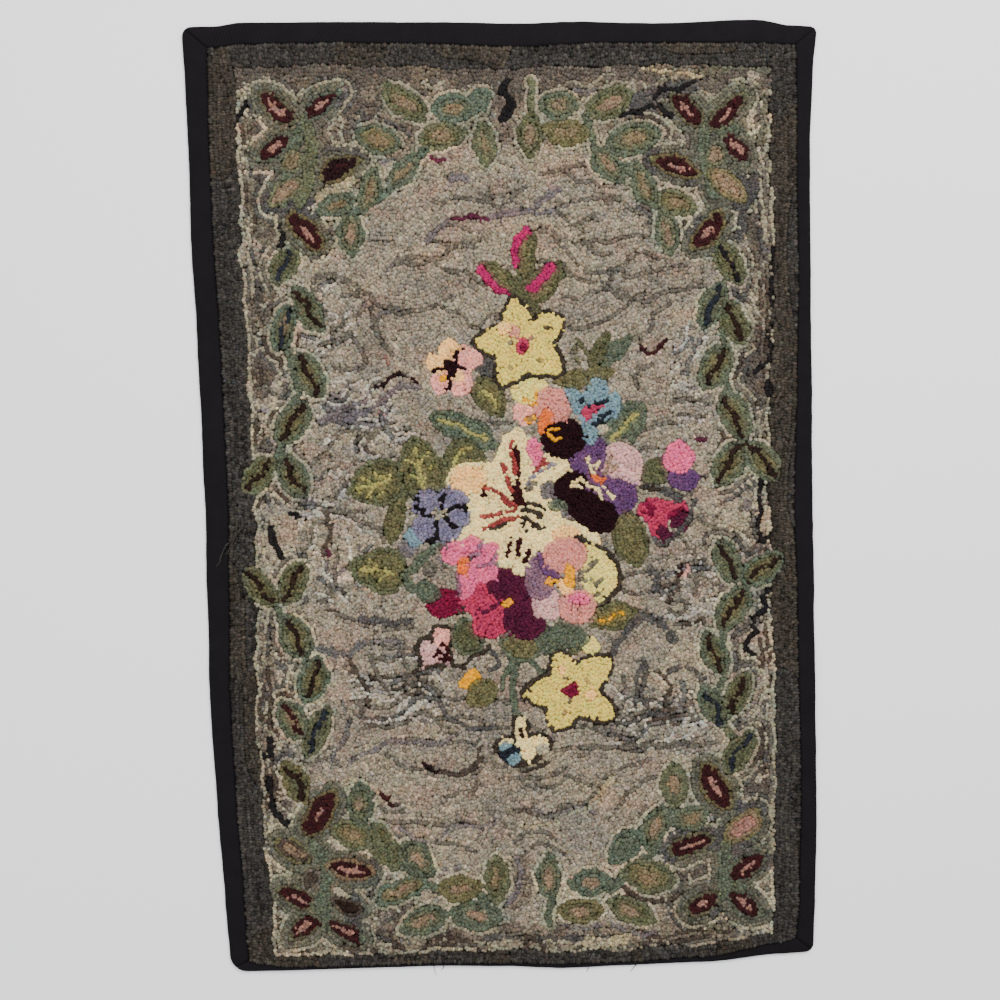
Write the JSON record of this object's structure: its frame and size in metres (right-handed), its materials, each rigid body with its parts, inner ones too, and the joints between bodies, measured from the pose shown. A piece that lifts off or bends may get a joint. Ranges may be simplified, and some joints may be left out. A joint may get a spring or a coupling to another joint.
{
  "type": "hooked rug",
  "caption": "Small hooked rug with a leaf garland and a bouquet in looped wool, edged with folded black twill tape. It lies flat and narrows a little towards its lower end.",
  "frame": {"origin": "middle of the underside, on the surface that the rug lies on", "axes": "+Y along the rug's length to its upper end, +X to its right, +Z out of its hooked face"},
  "size_m": [0.6336, 0.9494, 0.0075],
  "materials": {
    "wool_field": "matte",
    "twill_binding": "matte"
  },
  "bodies": {
    "root": {"hooked_field": "wool_field", "binding_top": "twill_binding", "binding_right": "twill_binding", "binding_bottom": "twill_binding", "binding_left": "twill_binding"}
  },
  "joints": []
}
